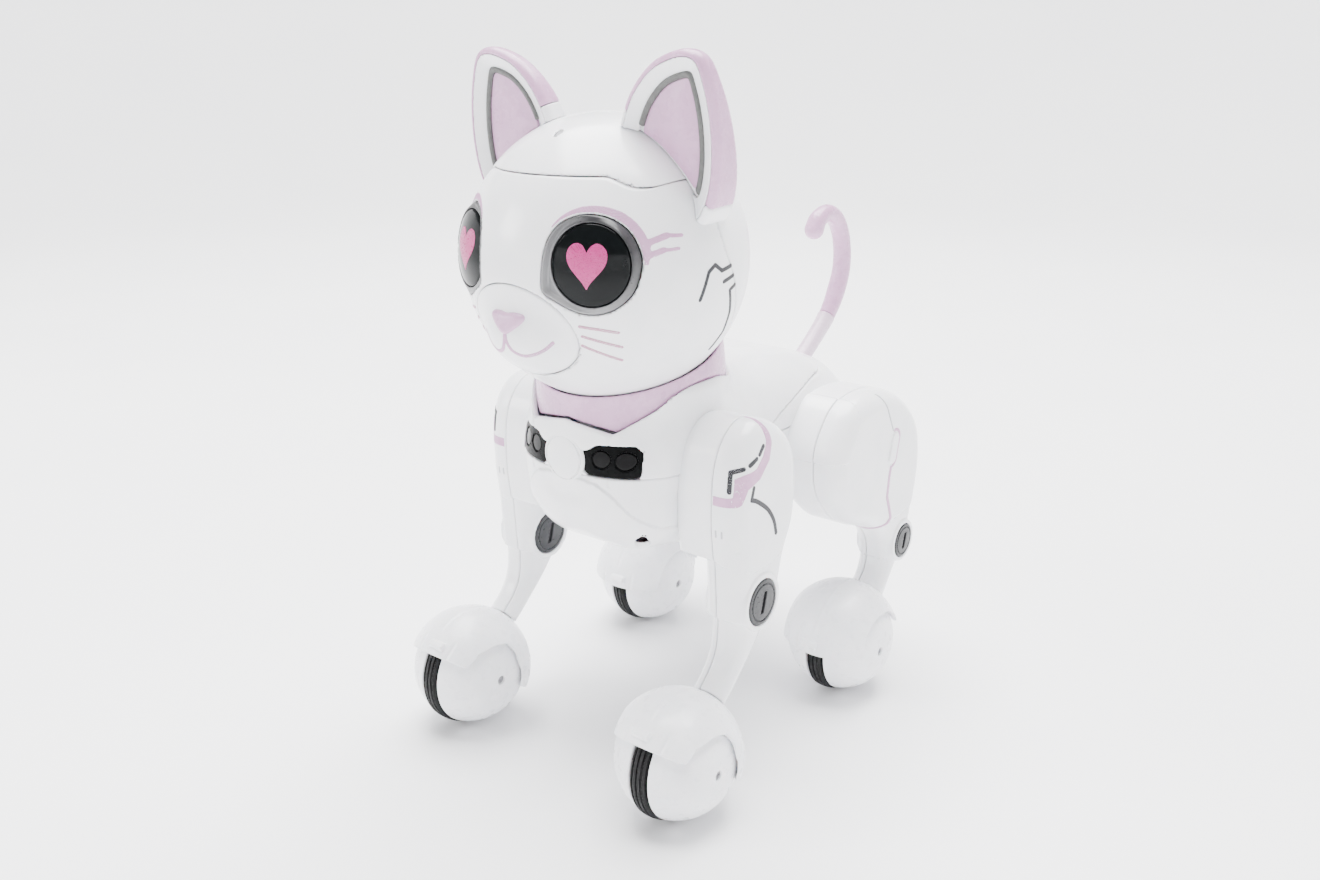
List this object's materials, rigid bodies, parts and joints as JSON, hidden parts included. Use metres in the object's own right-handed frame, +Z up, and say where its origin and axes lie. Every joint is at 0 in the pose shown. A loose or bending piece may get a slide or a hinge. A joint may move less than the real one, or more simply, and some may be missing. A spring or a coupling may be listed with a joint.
{
  "type": "robot kitten toy",
  "caption": "Upright robot kitten toy with a round turning head, a hooked tail and hinged legs that end in ball feet with a hidden wheel.",
  "frame": {"origin": "on the floor, under the middle of the whole length", "axes": "+Z up, the face looks along -Y, +X is the toy's left"},
  "size_m": [0.168, 0.255, 0.2976],
  "materials": {
    "white_shell": "glossy moulded white ABS",
    "lavender_shell": "glossy moulded pale lavender ABS",
    "dark_window": "smoked black acrylic",
    "grey_bezel": "grey moulded ABS ring",
    "dark_cap": "dark grey moulded cover cap",
    "black_knob": "black moulded slide knob",
    "tyre": "matt black rubber",
    "acetal": "natural acetal",
    "battery_wrap": "blue shrink wrap",
    "circuit_board": "green solder mask",
    "speaker_cone": "black paper cone in a steel frame",
    "motor_case": "grey nylon gear case",
    "steel": "zinc-plated steel screws"
  },
  "bodies": {
    "torso": {"back_shell": "white_shell", "belly_shell": "white_shell", "rump_shell": "white_shell", "collar": "lavender_shell", "badge": "white_shell", "sensor_window": "dark_window", "battery_door": "white_shell", "battery_pack": "battery_wrap", "main_board": "circuit_board", "speaker": "speaker_cone", "gear_motors": "motor_case", "torso_screws": "steel"},
    "head": {"face_shell": "white_shell", "head_back_shell": "white_shell", "crown_cap": "white_shell", "neck_spindle": "acetal", "muzzle": "white_shell", "nose": "lavender_shell", "eye_bezel_left": "grey_bezel", "eye_bezel_right": "grey_bezel", "eye_lens_left": "dark_window", "eye_lens_right": "dark_window", "ear_left": "lavender_shell", "ear_right": "lavender_shell", "ear_insert_left": "lavender_shell", "ear_insert_right": "lavender_shell"},
    "tail": {"tail": "lavender_shell"},
    "switch": {"power_switch": "black_knob"},
    "front_left_leg": {"front_left_leg_outer": "white_shell", "front_left_leg_inner": "white_shell", "front_left_pivot_caps": "dark_cap", "front_left_foot_outer": "white_shell", "front_left_foot_inner": "white_shell", "front_left_paw_cover": "white_shell"},
    "front_left_wheel": {"front_left_wheel_hub": "acetal", "front_left_tyre": "tyre"},
    "front_right_leg": {"front_right_leg_outer": "white_shell", "front_right_leg_inner": "white_shell", "front_right_pivot_caps": "dark_cap", "front_right_foot_outer": "white_shell", "front_right_foot_inner": "white_shell", "front_right_paw_cover": "white_shell"},
    "front_right_wheel": {"front_right_wheel_hub": "acetal", "front_right_tyre": "tyre"},
    "rear_left_leg": {"rear_left_leg_outer": "white_shell", "rear_left_leg_inner": "white_shell", "rear_left_pivot_caps": "dark_cap", "rear_left_foot_outer": "white_shell", "rear_left_foot_inner": "white_shell", "rear_left_paw_cover": "white_shell"},
    "rear_left_wheel": {"rear_left_wheel_hub": "acetal", "rear_left_tyre": "tyre"},
    "rear_right_leg": {"rear_right_leg_outer": "white_shell", "rear_right_leg_inner": "white_shell", "rear_right_pivot_caps": "dark_cap", "rear_right_foot_outer": "white_shell", "rear_right_foot_inner": "white_shell", "rear_right_paw_cover": "white_shell"},
    "rear_right_wheel": {"rear_right_wheel_hub": "acetal", "rear_right_tyre": "tyre"}
  },
  "joints": [
    {"name": "head_turn", "type": "hinge", "parent": "torso", "child": "head", "pos_m": [0, -0.06685, 0.15], "axis": [0, 0, 1], "range_deg": [-30, 30]},
    {"name": "tail_swivel", "type": "hinge", "parent": "torso", "child": "tail", "pos_m": [0, 0.08915, 0.147], "axis": [0, 0.829, 0.5592], "range_deg": [-40, 40]},
    {"name": "switch_slide", "type": "slide", "parent": "torso", "child": "switch", "axis": [0, 1, 0], "range_m": [0, 0.003]},
    {"name": "front_left_shoulder", "type": "hinge", "parent": "torso", "child": "front_left_leg", "pos_m": [0.0435, -0.05085, 0.122], "axis": [1, 0, 0], "range_deg": [-18, 18]},
    {"name": "front_right_shoulder", "type": "hinge", "parent": "torso", "child": "front_right_leg", "pos_m": [-0.0435, -0.05085, 0.122], "axis": [1, 0, 0], "range_deg": [-18, 18]},
    {"name": "rear_left_hip", "type": "hinge", "parent": "torso", "child": "rear_left_leg", "pos_m": [0.0435, 0.04715, 0.117], "axis": [1, 0, 0], "range_deg": [-18, 18]},
    {"name": "rear_right_hip", "type": "hinge", "parent": "torso", "child": "rear_right_leg", "pos_m": [-0.0435, 0.04715, 0.117], "axis": [1, 0, 0], "range_deg": [-18, 18]},
    {"name": "front_left_wheel_spin", "type": "hinge", "parent": "front_left_leg", "child": "front_left_wheel", "pos_m": [0.06, -0.09885, 0.026], "axis": [1, 0, 0], "continuous": true},
    {"name": "front_right_wheel_spin", "type": "hinge", "parent": "front_right_leg", "child": "front_right_wheel", "pos_m": [-0.06, -0.09885, 0.026], "axis": [1, 0, 0], "continuous": true},
    {"name": "rear_left_wheel_spin", "type": "hinge", "parent": "rear_left_leg", "child": "rear_left_wheel", "pos_m": [0.06, 0.03315, 0.026], "axis": [1, 0, 0], "continuous": true},
    {"name": "rear_right_wheel_spin", "type": "hinge", "parent": "rear_right_leg", "child": "rear_right_wheel", "pos_m": [-0.06, 0.03315, 0.026], "axis": [1, 0, 0], "continuous": true}
  ]
}
